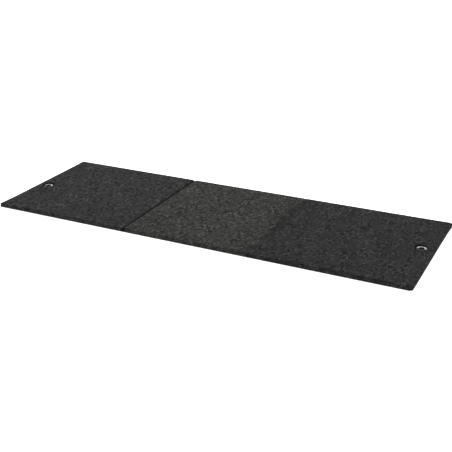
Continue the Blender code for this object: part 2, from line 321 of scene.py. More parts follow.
def cover_level(x, y):
    """The felt's upper face, with the puckered hollow round each eyelet."""
    z = open_level(x, y)
    for number, centre in enumerate(EYELETS.values()):
        radius, angle = eyelet_polar(x, y, centre)
        pull = smoothstep((TOP_RIM_RADIUS - radius) / (TOP_RIM_RADIUS - TOP_FLOOR_RADIUS))
        ripple = np.sin(PUCKERS * angle + number + PUCKER_SWAY * np.sin(2 * angle + number))
        reach = np.exp(-(((radius - TOP_RIM_RADIUS) / PUCKER_REACH) ** 2))
        z = z * (1 - pull) + DIMPLE_FLOOR * pull + PUCKER_HEIGHT * ripple * reach * (1 - pull)
    return z


def underside_level(x, y):
    """The lower face of the felt underneath: flat on the floor, pressed up round each washer."""
    z = UNDER_LUMP + UNDER_LUMP * lattice_noise(x, y, UNDER_SIZE, UNDER_SEED)
    for centre in EYELETS.values():
        radius, _ = eyelet_polar(x, y, centre)
        push = smoothstep((BOTTOM_RIM_RADIUS - radius) / (BOTTOM_RIM_RADIUS - BOTTOM_FLOOR_RADIUS))
        z = z * (1 - push) + DIMPLE_ROOF * push
    return z


# ---------------------------------------------------------------- mesh building


class Shape:
    """Vertices and faces being gathered for one mesh."""

    def __init__(self):
        self.points = []
        self.faces = []
        self.count = 0

    def add(self, points):
        """Adds points, an (n, 3) array, and returns their numbers."""
        points = np.asarray(points, float).reshape(-1, 3)
        self.points.append(points)
        start, self.count = self.count, self.count + len(points)
        return np.arange(start, self.count)

    def band(self, outer, inner, skip=None):
        """Quads between two closed rings of point numbers, except between two neighbours marked in skip."""
        after = np.roll(np.arange(len(outer)), -1)
        for here, there in enumerate(after):
            if skip is None or not (skip[here] and skip[there]):
                self.faces.append((outer[here], outer[there], inner[there], inner[here]))

    def make(self, name, smooth=True):
        """Makes the object, without the points that no face uses, such as those in a hole or a slit."""
        points = np.concatenate(self.points)
        used = np.zeros(len(points), bool)
        used[np.concatenate([np.array(face) for face in self.faces])] = True
        renumber = np.cumsum(used) - 1
        mesh = bpy.data.meshes.new(name)
        mesh.from_pydata(points[used].tolist(), [], [renumber[list(face)].tolist() for face in self.faces])
        mesh.validate()
        mesh.polygons.foreach_set("use_smooth", [smooth] * len(mesh.polygons))
        item = bpy.data.objects.new(name, mesh)
        bpy.context.scene.collection.objects.link(item)
        return item


def thicken(item, thickness):
    """Gives a skin its thickness on the inside and keeps the result as the mesh."""
    solid = item.modifiers.new("felt", "SOLIDIFY")
    solid.thickness = thickness
    solid.offset = -1.0
    bpy.context.view_layer.update()
    made = bpy.data.meshes.new_from_object(item.evaluated_get(bpy.context.evaluated_depsgraph_get()))
    item.modifiers.clear()
    made.name, item.data = item.name, made


def keep_rest(item):
    """Stores where each vertex is at rest, so that a pattern stays on the felt when it bends."""
    places = np.zeros(len(item.data.vertices) * 3, np.float32)
    item.data.vertices.foreach_get("co", places)
    item.data.attributes.new("rest", "FLOAT_VECTOR", "POINT").data.foreach_set("vector", places)


def grid_rim(grid):
    """A grid's outer numbers in one closed ring, counterclockwise from its low corner."""
    return np.concatenate([grid[:-1, 0], grid[-1, :-1], grid[:0:-1, -1], grid[0, :0:-1]])


def stations(low, high, radii, step=STEP, extra=()):
    """X stations: packed into the corner arcs at the ends, even between, with extra ones near a fold."""
    angles = np.linspace(0.0, math.pi / 2, ARC_STEPS + 1)
    start = low + radii[0] * (1 - np.cos(angles)) if radii[0] else [low]
    finish = high - radii[1] * (1 - np.sin(angles)) if radii[1] else [high]
    inner_low, inner_high = start[-1], finish[0]
    between = np.linspace(inner_low, inner_high, int(round((inner_high - inner_low) / step)) + 1)
    if len(extra):
        near = (between > min(extra) - 0.6 * step) & (between < max(extra) + 0.6 * step)
        between = np.sort(np.concatenate([between[~near], extra]))
    return np.unique(np.round(np.concatenate([start, between, finish]), 7))


def half_width_at(x, low, high, half_width, radii):
    """The outline's half width at x and the outward normal there, on the +Y side."""
    reach = np.zeros_like(x)
    width = np.full_like(x, half_width)
    for end, sign, radius in ((low, -1, radii[0]), (high, 1, radii[1])):
        if radius > 0:
            share = np.clip((sign * (x - end) + radius) / radius, 0.0, 1.0)
            inside = share > 0
            width[inside] = half_width - radius + radius * np.sqrt(1 - share[inside] ** 2)
            reach[inside] = sign * share[inside]
    return width, np.stack([reach, np.sqrt(1 - reach**2)], 1)


class Plan:
    """A structured patch of the mat's plan with rounded corners, opened round any eyelet in it.

    grid holds the numbers of its lattice, rim those along its outline with the outward directions out,
    and holes one ring of numbers for each opening.
    """

    def __init__(self, low, high, half_width, radii, step=STEP, extra=(), hole=HOLE_RADIUS):
        x = stations(low, high, radii, step, extra)
        share = np.linspace(-1.0, 1.0, int(round(2 * half_width / step)) + 1)
        width, normals = half_width_at(x, low, high, half_width, radii)
        self.xy = np.stack([np.repeat(x, len(share)), (width[:, None] * share[None, :]).ravel()], 1)
        self.grid = np.arange(len(self.xy)).reshape(len(x), len(share))
        self.rim = grid_rim(self.grid)
        self.out = self.outward(normals, len(share) - 1)
        self.faces, self.holes = [], []
        kept = np.ones((len(x) - 1, len(share) - 1), bool)
        reach = np.array([-POLAR_HALF, POLAR_HALF])
        for centre in EYELETS.values():
            if low < centre[0] < high:
                i0, i1 = np.searchsorted(x, centre[0] + reach)
                j0, j1 = np.searchsorted(half_width * share, centre[1] + reach)
                kept[i0:i1, j0:j1] = False
                self.open_hole(grid_rim(self.grid[i0 : i1 + 1, j0 : j1 + 1]), centre, hole)
        i, j = np.nonzero(kept)
        grid = self.grid
        self.faces += list(zip(grid[i, j], grid[i + 1, j], grid[i + 1, j + 1], grid[i, j + 1]))

    @staticmethod
    def outward(normals, rows):
        """The outward directions along the rim, from those on the +Y side."""
        low_side = np.stack([normals[:-1, 0], -normals[:-1, 1]], 1)
        high_end, low_end = np.tile([1.0, 0.0], (rows, 1)), np.tile([-1.0, 0.0], (rows, 1))
        return np.concatenate([low_side, high_end, normals[:0:-1], low_end])

    def open_hole(self, ring, centre, radius):
        """Fills the square inside a ring with rings that turn into a circle, which is left open."""
        square = self.xy[ring]
        angle = np.arctan2(square[:, 1] - centre[1], square[:, 0] - centre[0])
        circle = np.array(centre) + radius * np.stack([np.cos(angle), np.sin(angle)], 1)
        after = np.roll(np.arange(len(ring)), -1)
        for number in range(1, POLAR_RINGS + 1):
            share = number / POLAR_RINGS
            following = len(self.xy) + np.arange(len(ring))
            self.xy = np.concatenate([self.xy, square * (1 - share) + circle * share])
            self.faces += [(ring[a], ring[b], following[b], following[a]) for a, b in enumerate(after)]
            ring = following
        self.holes.append(ring)

    def points(self, level):
        """The patch's points in space, at the level that a function of x and y gives."""
        return np.column_stack([self.xy, level(self.xy[:, 0], self.xy[:, 1])])


def skirt_profile():
    """The skirt's section from the top's rim down, as (reach, drop): round edge, wall and tucked foot."""
    angles = np.linspace(0.0, math.pi / 2, ROUND_STEPS + 1)[1:]
    profile = [(TOP_ROUND * math.sin(a), -TOP_ROUND * (1 - math.cos(a))) for a in angles]
    wall = CREST - TOP_ROUND - COVER_FOOT - FOOT_TUCK
    profile += [(TOP_ROUND, -TOP_ROUND - wall * share) for share in WALL_SHARES]
    for a in (math.pi / 4, math.pi / 2):
        level = COVER_FOOT + FOOT_TUCK * (1 - math.sin(a))
        profile.append((TOP_ROUND - FOOT_TUCK * (1 - math.cos(a)), level - CREST))
    return profile


def felt_cover(name, low, high, radii, extra=(), slit_x=None):
    """The felt over the top and down the sides. A slit divides its two side skirts at a fold."""
    inner_radii = [radius - TOP_ROUND for radius in radii]
    plan = Plan(low + TOP_ROUND, high - TOP_ROUND, HALF_WIDTH - TOP_ROUND, inner_radii, extra=extra)
    shape = Shape()
    top = plan.points(cover_level)
    numbers = shape.add(with_ears(top.copy()))
    shape.faces += [tuple(numbers[list(face)]) for face in plan.faces]
    base, out = top[plan.rim], plan.out
    along = base[:, 0] + SIDE_SKEW * base[:, 1]
    in_groove = (np.abs(base[:, 0] - LEFT_FOLD_X) < 2 * TOP_ROUND) & (np.abs(out[:, 0]) > 0.5)
    lump = np.where(in_groove, GROOVE_CALM * SIDE_LUMP, SIDE_LUMP)
    slit = None
    if slit_x is not None:
        slit = (np.abs(out[:, 1]) > 0.999) & (np.abs(base[:, 0] - slit_x) < SLIT_REACH)
    inner = numbers[plan.rim]
    for reach, drop in skirt_profile():
        level = base[:, 2] + drop * (base[:, 2] - COVER_FOOT) / (CREST - COVER_FOOT)
        swell = reach / TOP_ROUND * lump * lattice_noise(along, level, SIDE_SIZE, SIDE_SEED)
        places = np.column_stack([base[:, :2] + out * (reach + swell)[:, None], level])
        outer = shape.add(with_ears(places))
        shape.band(outer, inner, slit if level.mean() < SLIT_TOP else None)
        inner = outer
    item = shape.make(name)
    thicken(item, FELT)
    return item


def felt_underside(name, end_x, wall_x):
    """The felt underneath, from a rounded end to the top-hinged fold's groove, whose wall it lines."""
    radius = (LEFT_END_CORNER if end_x < wall_x else RIGHT_END_CORNER) - UNDER_INSET
    low, high = sorted((end_x, wall_x))
    radii = [radius if side == end_x else 0.0 for side in (low, high)]
    sign = 1 if wall_x == high else -1
    near_fold = [LEFT_FOLD_X + share * HALF_GAP for share in (-3, -1, -0.5, 0, 0.5, 1, 3)]
    plan = Plan(low, high, UNDER_HALF_WIDTH, radii, extra=near_fold if low < LEFT_FOLD_X < high else ())
    shape = Shape()
    flat = plan.points(underside_level)
    numbers = shape.add(flat)
    shape.faces += [tuple(numbers[list(face)][::-1]) for face in plan.faces]
    edge = plan.grid[-1 if wall_x == high else 0]
    row, previous = flat[edge], numbers[edge]
    for share in np.linspace(0.0, 1.0, LINING_STEPS + 1)[1:]:
        z = row[:, 2] + (LINING_TOP - row[:, 2]) * share
        swell = LINING_LUMP * lattice_noise(row[:, 1], z, LINING_SIZE, LINING_SEED)
        outer = shape.add(np.column_stack([row[:, 0] - sign * np.abs(swell), row[:, 1], z]))
        for face in zip(previous[:-1], outer[:-1], outer[1:], previous[1:]):
            shape.faces.append(face if sign < 0 else face[::-1])
        previous = outer
    item = shape.make(name)
    thicken(item, FELT)
    return item


def foam_top(x, y, low, high):
    """The foam's upper face: just under the felt, and lower at its edges and below the tape and patches."""
    z = np.minimum(cover_level(x, y), open_level(x, y)) - FELT - CLEAR
    edge = np.maximum(np.minimum.reduce([x - low, high - x, HALF_WIDTH - np.abs(y)]) - FOAM_INSET, 0)
    z -= FOAM_EDGE_FALL * np.exp(-((edge / FOAM_EDGE_REACH) ** FOAM_EDGE_POWER))
    z -= TAPE_ROOM * (np.abs(x - RIGHT_FOLD_X) < TAPE_ROOM_REACH)
    for centre in EYELETS.values():
        radius, _ = eyelet_polar(x, y, centre)
        z = np.where(radius < TOP_RIM_RADIUS, np.minimum(z, PATCH_LOW - CLEAR), z)
    return z


def foam_bottom(x, y):
    """The foam's lower face, higher above the lower tape and the washers."""
    z = np.full_like(x, FOAM_LOW) + TAPE_ROOM * (np.abs(x - LEFT_FOLD_X) < TAPE_ROOM_REACH)
    for centre in EYELETS.values():
        radius, _ = eyelet_polar(x, y, centre)
        push = smoothstep((WASHER_ROOM_RIM - radius) / WASHER_ROOM_WIDTH)
        z = np.maximum(z, push * (DIMPLE_ROOF + FELT + CLEAR))
    return z


def foam_pad(name, low, high, radii):
    """A panel's foam: a closed pad that follows the felt, with room for the tapes, patch and washer."""
    plan = Plan(
        low + FOAM_INSET,
        high - FOAM_INSET,
        HALF_WIDTH - FOAM_INSET,
        [max(radius - FOAM_INSET, FOAM_LEAST_CORNER) for radius in radii],
        step=2 * STEP,
        hole=HOLE_RADIUS + CLEAR,
    )
    shape = Shape()
    upper, lower = plan.points(lambda x, y: foam_top(x, y, low, high)), plan.points(foam_bottom)
    above, below = shape.add(upper), shape.add(lower)
    shape.faces += [tuple(above[list(face)]) for face in plan.faces]
    shape.faces += [tuple(below[list(face)][::-1]) for face in plan.faces]
    for ring, out in [(plan.rim, plan.out)] + [(ring, None) for ring in plan.holes]:
        previous = above[ring]
        for share in FOAM_SHARES:
            places = upper[ring] * (1 - share) + lower[ring] * share
            if out is not None:
                places[:, :2] += out * FOAM_BULGE * math.sin(math.pi * share)
            following = shape.add(places)
            wall_band(shape, following, previous, out is None)
            previous = following
        wall_band(shape, below[ring], previous, out is None)
    return shape.make(name)


def wall_band(shape, lower, upper, in_hole):
    """Quads between two levels of a wall, facing away from the foam."""
    if in_hole:
        shape.band(upper, lower)
    else:
        shape.band(lower, upper)


def hinge_tape(name, x, middle_level, thickness):
    """The woven tape across a fold, inside the cover: a closed strip that follows the felt's level."""
    low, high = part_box(name)
    half = (high.x - low.x) / 2
    near = HALF_GAP / half
    before, after = [-share for share in TAPE_STATIONS], list(TAPE_STATIONS[::-1])
    xs = x + half * np.array(before + [-near, -near / 2, 0.0, near / 2, near] + after)
    ys = np.linspace(low.y, high.y, TAPE_POINTS)
    grid_x, grid_y = np.repeat(xs, len(ys)), np.tile(ys, len(xs))
    level = middle_level(grid_x, grid_y)
    shape = Shape()
    above = shape.add(np.column_stack([grid_x, grid_y, level + thickness / 2])).reshape(len(xs), -1)
    below = shape.add(np.column_stack([grid_x, grid_y, level - thickness / 2])).reshape(len(xs), -1)
    for a in range(len(xs) - 1):
        for b in range(len(ys) - 1):
            shape.faces.append((above[a, b], above[a + 1, b], above[a + 1, b + 1], above[a, b + 1]))
            shape.faces.append((below[a, b + 1], below[a + 1, b + 1], below[a + 1, b], below[a, b]))
    shape.band(grid_rim(below), grid_rim(above))
    return shape.make(name + "_tape")


def turned(name, profile, centre):
    """A closed ring about an upright axis. Its profile is (radius, height) points, up the inside first."""
    shape = Shape()
    angles = np.linspace(0.0, 2 * math.pi, TURN_STEPS, endpoint=False)
    rings = []
    for radius, height in profile:
        x, y = centre[0] + radius * np.cos(angles), centre[1] + radius * np.sin(angles)
        rings.append(shape.add(np.column_stack([x, y, np.full(TURN_STEPS, height)])))
    for here, there in zip(rings, rings[1:] + rings[:1]):
        shape.band(there, here)
    return shape.make(name)


def arc(centre, radii, start, finish, steps):
    """Points round an ellipse in the (radius, height) plane, angles in degrees."""
    angles = np.radians(np.linspace(start, finish, steps + 1))
    return [(centre[0] + radii[0] * math.cos(a), centre[1] + radii[1] * math.sin(a)) for a in angles]


def eyelet_ring(name, side):
    """The domed flange, its barrel and the foot curled out under the washer."""
    low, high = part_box(f"{side}_eyelet")
    flange = (high.x - low.x) / 2
    seat = DIMPLE_FLOOR + CLEAR
    brow = seat + FLANGE_RIM
    crown = high.z - brow
    curl_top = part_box(f"{side}_eyelet_washer")[0].z - CLEAR
    curl = ((BORE_RADIUS + CURL_RADIUS) / 2, curl_top)
    profile = arc((CROWN_RADIUS, brow), (CROWN_RADIUS - BORE_RADIUS, crown), 180, 90, 10)
    profile += arc((CROWN_RADIUS, brow), (flange - CROWN_RADIUS, crown), 90, 0, 14)[1:]
    profile += [(flange - FLANGE_TAPER, seat), (BARREL_RADIUS, seat), (BARREL_RADIUS, curl_top)]
    profile += arc(curl, ((CURL_RADIUS - BORE_RADIUS) / 2, curl_top - low.z), 0, -180, 16)
    return turned(name, profile, EYELETS[side])


def washer_ring(name, side):
    """A flat washer with a rounded outer edge."""
    low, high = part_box(f"{side}_eyelet_washer")
    edge = (high.z - low.z) / 2
    middle = (high.z + low.z) / 2
    outside = (high.x - low.x) / 2
    profile = [(HOLE_RADIUS, low.z + WASHER_EASE), (HOLE_RADIUS, high.z - WASHER_EASE)]
    profile += [(HOLE_RADIUS + WASHER_EASE, high.z)]
    profile += arc((outside - edge, middle), (edge, edge), 90, -90, 10)
    profile += [(HOLE_RADIUS + WASHER_EASE, low.z)]
    return turned(name, profile, EYELETS[side])


# ---------------------------------------------------------------- materials


class Finish:
    """One material, with short calls for the nodes that its pattern is made of."""

    def __init__(self, name, roughness, metallic=0.0):
        self.material = bpy.data.materials.new(name)
        self.material.use_nodes = True
        self.tree = self.material.node_tree
        self.shader = self.tree.nodes["Principled BSDF"]
        self.shader.inputs["Roughness"].default_value = roughness
        self.shader.inputs["Metallic"].default_value = metallic

    def node(self, kind, **settings):
        made = self.tree.nodes.new(kind)
        for key, value in settings.items():
            setattr(made, key, value)
        return made

    def colour(self, value):
        """Makes a value the surface's colour."""
        self.feed(self.shader.inputs["Base Color"], value)

    def feed(self, socket, value):
        """Links a socket to another one, or sets its value."""
        if isinstance(value, bpy.types.NodeSocket):
            self.tree.links.new(value, socket)
        else:
            socket.default_value = value

    def rest(self):
        """Each point's place at rest, so that the pattern stays on a piece that bends."""
        return self.node("ShaderNodeAttribute", attribute_name="rest").outputs["Vector"]

    def mapped(self, vector, scale=(1, 1, 1), turn=0.0, shift=(0, 0, 0)):
        made = self.node("ShaderNodeMapping")
        self.feed(made.inputs["Vector"], vector)
        made.inputs["Scale"].default_value = scale
        made.inputs["Rotation"].default_value = (0, 0, turn)
        made.inputs["Location"].default_value = shift
        return made.outputs["Vector"]

    def noise(self, vector, scale, detail=2.0, roughness=0.5, colour=False):
        made = self.node("ShaderNodeTexNoise")
        self.feed(made.inputs["Vector"], vector)
        made.inputs["Scale"].default_value = scale
        made.inputs["Detail"].default_value = detail
        made.inputs["Roughness"].default_value = roughness
        return made.outputs["Color" if colour else "Fac"]

    def span(self, value, low, high, to_low=0.0, to_high=1.0):
        """The value's place between low and high, carried over to another range and held at its ends."""
        made = self.node("ShaderNodeMapRange")
        made.clamp = True
        for key, number in (("From Min", low), ("From Max", high), ("To Min", to_low), ("To Max", to_high)):
            made.inputs[key].default_value = number
        self.feed(made.inputs["Value"], value)
        return made.outputs["Result"]

    def math(self, operation, a, b=0.0):
        made = self.node("ShaderNodeMath", operation=operation)
        self.feed(made.inputs[0], a)
        self.feed(made.inputs[1], b)
        return made.outputs[0]

    def grey(self, value):
        made = self.node("ShaderNodeCombineColor")
        for channel in ("Red", "Green", "Blue"):
            self.feed(made.inputs[channel], value)
        return made.outputs[0]

    def all_of(self, operation, parts):
        """One operation over a list of values, such as their product or their maximum."""
        total = parts[0]
        for part in parts[1:]:
            total = self.math(operation, total, part)
        return total

    def axes(self, vector):
        made = self.node("ShaderNodeSeparateXYZ")
        self.feed(made.inputs[0], vector)
        return made.outputs["X"], made.outputs["Y"], made.outputs["Z"]

    def vector(self, operation, a, b):
        made = self.node("ShaderNodeVectorMath", operation=operation)
        self.feed(made.inputs[0], a)
        self.feed(made.inputs[1], b)
        return made.outputs[0]

    def mix(self, share, a, b, blend="MIX"):
        made = self.node("ShaderNodeMix", data_type="RGBA", blend_type=blend)
        sockets = {socket.identifier: socket for socket in [*made.inputs, *made.outputs]}
        self.feed(sockets["Factor_Float"], share)
        self.feed(sockets["A_Color"], a if isinstance(a, bpy.types.NodeSocket) else (*a, 1.0))
        self.feed(sockets["B_Color"], b if isinstance(b, bpy.types.NodeSocket) else (*b, 1.0))
        return sockets["Result_Color"]

    def bump(self, height, distance, strength=1.0):
        made = self.node("ShaderNodeBump")
        made.inputs["Strength"].default_value = strength
        made.inputs["Distance"].default_value = distance
        self.feed(made.inputs["Height"], height)
        self.feed(self.shader.inputs["Normal"], made.outputs["Normal"])


def fibres(finish, vector, turns, length, width, cover):
    """How much of some fibre lies at a point: thin streaks in a few directions."""
    streaks = []
    for number, turn in enumerate(turns):
        scale = (1 / length, 1 / width, 1 / width)
        place = finish.mapped(vector, scale, math.radians(turn), (7.3 * number, 3.1 * number, number))
        streaks.append(finish.span(finish.noise(place, 1.0, 1.0), 1.0 - cover, 1.06 - cover))
    return finish.all_of("MAXIMUM", streaks)


def felt_tone(finish, x, tones):
    """The felt's plain colour along the mat, with a narrow change where each tone starts."""
    colour = finish.node("ShaderNodeRGB").outputs[0]
    colour.default_value = (*tones[0][1], 1.0)
    for start, tone in tones[1:]:
        colour = finish.mix(finish.span(x, start - TONE_BLUR, start + TONE_BLUR), colour, tone)
    return colour


def felt_finish(name, tones, contrast):
    """Melange felt. tones is a list of (from x, colour) along the mat, each holding up to the next."""
    finish = Finish(name, 0.92)
    rest = finish.rest()
    x, _, z = finish.axes(rest)
    grain = finish.mapped(rest, FELT_GRAIN)
    mottle = finish.math("MULTIPLY", clumps(finish, grain, contrast), tufts(finish, grain))
    # Painted shade down the sides and in the groove; grime together with painted shade by the top-hinged
    # fold and round the eyelets
    painted_shade_and_grime = [painted_side_shade(finish, z), painted_crease_shade(finish, x, z), fold_grime_and_shade(finish, x, rest)]
    shade = finish.all_of("MULTIPLY", [clouds(finish, rest), mottle, *painted_shade_and_grime, eyelet_grime_and_shade(finish, rest)])
    colour = finish.mix(1.0, felt_tone(finish, x, tones), finish.grey(shade), "MULTIPLY")

    curl = finish.vector("SUBTRACT", finish.noise(rest, CURL_SCALE, 1.0, colour=True), (0.5, 0.5, 0.5))
    curled = finish.vector("ADD", rest, finish.vector("MULTIPLY", curl, (CURL_REACH,) * 3))
    dark, light, warm = (fibres(finish, curled, *kind) for kind in (DARK_FIBRES, LIGHT_FIBRES, WARM_FIBRES))
    colour = finish.mix(finish.math("MULTIPLY", dark, DARK_STRENGTH), colour, DARK_COLOUR)
    colour = finish.mix(finish.all_of("MULTIPLY", [light, mottle, LIGHT_STRENGTH]), colour, LIGHT_COLOUR)
    finish.colour(finish.mix(finish.math("MULTIPLY", warm, WARM_STRENGTH), colour, WARM_COLOUR))

    finish.feed(finish.shader.inputs["Roughness"], finish.span(mottle, 0.3, 1.8, *FELT_ROUGHNESS))
    raised = [finish.math("MULTIPLY", part, share) for part, share in zip((light, dark, mottle), RAISED_BY)]
    finish.bump(finish.all_of("ADD", [*raised, finish.noise(rest, FUZZ_SCALE, 2.0, 0.6)]), FELT_BUMP, 0.9)
    for socket, value in FELT_SHEEN.items():
        finish.shader.inputs[socket].default_value = value
    return finish.material


def clouds(finish, rest):
    """Broad, soft changes of tone."""
    broad = finish.span(finish.noise(rest, BROAD_CLOUD_SCALE, 2.0), 0.3, 0.7, 0.82, 1.18)
    small = finish.span(finish.noise(rest, SMALL_CLOUD_SCALE, 2.0), 0.3, 0.7, 0.76, 1.24)
    return finish.math("MULTIPLY", broad, small)


def clumps(finish, grain, contrast):
    """Clumps of lighter and darker fibre. Some areas are nearly plain and others strongly flecked."""
    moved = finish.mapped(grain, shift=(3.1, 1.7, 0.0))
    area = finish.noise(moved, CLUMP_AREA_SCALE, 1.0)
    strength = finish.span(area, 0.38, 0.62, 0.25 * contrast, 1.5 * contrast)
    level = finish.span(finish.noise(grain, CLUMP_SCALE, 1.5), 0.40, 0.60, -1.0, 1.2)
    fleck = finish.span(finish.noise(moved, FLECK_SCALE, 0.5), 0.66, 0.74, 0.0, FLECK_LIGHT)
    return finish.all_of("ADD", [finish.math("MULTIPLY", strength, level), 1.0, fleck])


def tufts(finish, grain):
    """The finest tufts that the felt's surface is made of."""
    return finish.span(finish.noise(grain, TUFT_SCALE, 2.0, 0.6), 0.40, 0.60, 0.68, 1.36)


def fold_grime_and_shade(finish, x, rest):
    """Irregular darker patches by the top-hinged fold: grime and painted shade of its valley together."""
    across = finish.math("ABSOLUTE", finish.math("SUBTRACT", x, RIGHT_FOLD_X))
    near = finish.span(across, FOLD_PATCH_NEAR, FOLD_PATCH_FAR, FOLD_GRIME_AND_SHADE, 0.0)
    lumps = finish.span(finish.noise(rest, FOLD_PATCH_SCALE, 2.0), 0.44, 0.60)
    return finish.math("SUBTRACT", 1.0, finish.math("MULTIPLY", near, lumps))


def painted_side_shade(finish, z):
    """Painted shade: the felt's colour is darker down the sides, where less light falls on them."""
    return finish.span(z, CREST - TOP_ROUND, CREST - 0.2 * TOP_ROUND, SIDE_SHADE, 1.0)


def painted_crease_shade(finish, x, z):
    """Painted shade in the open fold's groove: the felt is darker there, more so the deeper it lies."""
    across = finish.math("ABSOLUTE", finish.math("SUBTRACT", x, LEFT_FOLD_X))
    near = finish.span(across, CREASE_NEAR, CREASE_FAR, 1.0, 0.0)
    deep = finish.span(z, CREASE_DEEP, CREASE_TOP, CREASE_SHADE, 1.0)
    return finish.math("ADD", finish.math("MULTIPLY", finish.math("SUBTRACT", deep, 1.0), near), 1.0)


def from_eyelets(finish, place, near, far, shade):
    """A shade that holds up to one distance from an eyelet's axis and has faded to 1 at another."""
    rings = []
    for centre in EYELETS.values():
        apart = finish.vector("MULTIPLY", finish.vector("SUBTRACT", place, (*centre, 0.0)), (1.0, 1.0, 0.0))
        length = finish.node("ShaderNodeVectorMath", operation="LENGTH")
        finish.feed(length.inputs[0], apart)
        rings.append(finish.span(length.outputs["Value"], near, far, shade, 1.0))
    return finish.all_of("MULTIPLY", rings)


def eyelet_grime_and_shade(finish, rest):
    """The felt that each eyelet presses down is darker, fading outwards: a grime stain and painted shade of
    the hollow together.
    """
    return from_eyelets(finish, rest, HOLLOW_DARK_NEAR, HOLLOW_DARK_FAR, HOLLOW_GRIME_AND_SHADE)


def painted_eyelet_shade(finish, rest):
    """How much painted shade darkens the metal: the front half of each flange, and down inside the barrel.
    """
    x, y, z = finish.axes(rest)
    parts = []
    for centre in EYELETS.values():
        along = finish.math("ABSOLUTE", finish.math("SUBTRACT", x, centre[0]))
        here = finish.span(along, FLANGE_NEAR, FLANGE_FAR, 1.0, 0.0)
        half = finish.span(finish.math("SUBTRACT", y, centre[1]), EYELET_SHADE_FROM, EYELET_SHADE_TO, 1.0, 0.0)
        parts.append(finish.math("MULTIPLY", here, half))
    parts.append(finish.span(z, DIMPLE_FLOOR - EYELET_SHADE_EASE, DIMPLE_FLOOR + EYELET_SHADE_EASE, 1.0, 0.0))
    return finish.all_of("MAXIMUM", parts)


def eyelet_finish(name):
    """Worn nickel over brass, with fine scratches, darker grime in the low places, and painted shade on the
    front and inside the barrel.
    """
    finish = Finish(name, 0.3, 1.0)
    rest = finish.rest()
    wear = finish.span(finish.noise(rest, WEAR_SCALE, 4.0, 0.65), 0.42, 0.62)
    grime = finish.span(finish.noise(rest, METAL_GRIME_SCALE, 3.0, 0.6), 0.48, 0.68)
    colour = finish.mix(wear, NICKEL, BRASS)
    colour = finish.mix(finish.math("MULTIPLY", grime, METAL_GRIME_SHARE), colour, METAL_GRIME)
    # Painted shade: the front half of each flange and the inside of the barrel are darkened
    eyelet_shade_amount = finish.math("MULTIPLY", painted_eyelet_shade(finish, rest), EYELET_SHADE_SHARE)
    finish.colour(finish.mix(eyelet_shade_amount, colour, EYELET_SHADE_COLOUR))
    scratches = finish.noise(finish.mapped(rest, (1, 9, 1), 0.6), SCRATCH_SCALE, 2.0, 0.6)
    polish = finish.span(scratches, 0.3, 0.7, *METAL_ROUGHNESS)
    rough = finish.math("ADD", polish, finish.math("MULTIPLY", grime, 0.18))
    finish.feed(finish.shader.inputs["Roughness"], rough)
    finish.bump(finish.math("ADD", scratches, finish.math("MULTIPLY", wear, 0.6)), METAL_BUMP, 0.5)
    return finish.material


def foam_finish(name):
    """Closed-cell foam: fine round cells."""
    finish = Finish(name, 0.8)
    rest = finish.node("ShaderNodeTexCoord").outputs["Object"]
    cells = finish.node("ShaderNodeTexVoronoi")
    finish.feed(cells.inputs["Vector"], rest)
    cells.inputs["Scale"].default_value = CELL_SCALE
    shade = finish.span(cells.outputs["Distance"], 0.0, 0.8)
    finish.colour(finish.mix(shade, FOAM_CELL, FOAM_WALL))
    finish.bump(cells.outputs["Distance"], 0.0002, 0.6)
    return finish.material


def webbing_finish(name):
    """Woven tape: a plain weave of fine black threads."""
    finish = Finish(name, 0.7)
    rest = finish.node("ShaderNodeTexCoord").outputs["Object"]
    threads = []
    for turn in (0.0, math.pi / 2):
        wave = finish.node("ShaderNodeTexWave", bands_direction="X")
        finish.feed(wave.inputs["Vector"], finish.mapped(rest, (1, 1, 1), turn))
        wave.inputs["Scale"].default_value = THREAD_SCALE
        threads.append(wave.outputs["Fac"])
    weave = finish.math("MAXIMUM", threads[0], threads[1])
    speck = finish.span(finish.noise(rest, 2500.0, 2.0), 0.3, 0.7, 0.7, 1.3)
    finish.colour(finish.mix(finish.math("MULTIPLY", weave, speck), THREAD_LOW, THREAD_HIGH))
    finish.bump(weave, 0.0003, 0.8)
    return finish.material


def floor_finish(name):
    """White studio floor. It glows, except in the small discs that lie in the dark below the eyelets."""
    finish = Finish(name, 0.85)
    place = finish.node("ShaderNodeTexCoord").outputs["Object"]
    glow = from_eyelets(finish, place, BARREL_RADIUS, DARK_DISC, 0.0)
    shade = finish.span(finish.noise(place, 0.6, 2.0), 0.3, 0.7)
    finish.colour(finish.mix(shade, (0.79, 0.79, 0.79), (0.81, 0.81, 0.81)))
    finish.shader.inputs["Specular IOR Level"].default_value = 0.1
    finish.shader.inputs["Emission Color"].default_value = (1.0, 1.0, 1.0, 1.0)
    finish.feed(finish.shader.inputs["Emission Strength"], finish.math("MULTIPLY", glow, FLOOR_GLOW))
    return finish.material


# ---------------------------------------------------------------- the mat's pieces

top_felt = felt_finish("top_felt", TOP_TONES, TOP_CONTRAST)
under_felt = felt_finish("under_felt", UNDER_TONES, UNDER_CONTRAST)
metal = eyelet_finish("eyelet_metal")
foam = foam_finish("foam")
webbing = webbing_finish("webbing")


def finished(item, material, slot, *replaced):
    """Gives a piece its rest places and its material, and hides the CAD nodes that it stands for. slot is
    not used.
    """
    keep_rest(item)
    item.data.materials.clear()
    item.data.materials.append(material)
    if replaced:
        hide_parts(*replaced)
    return item


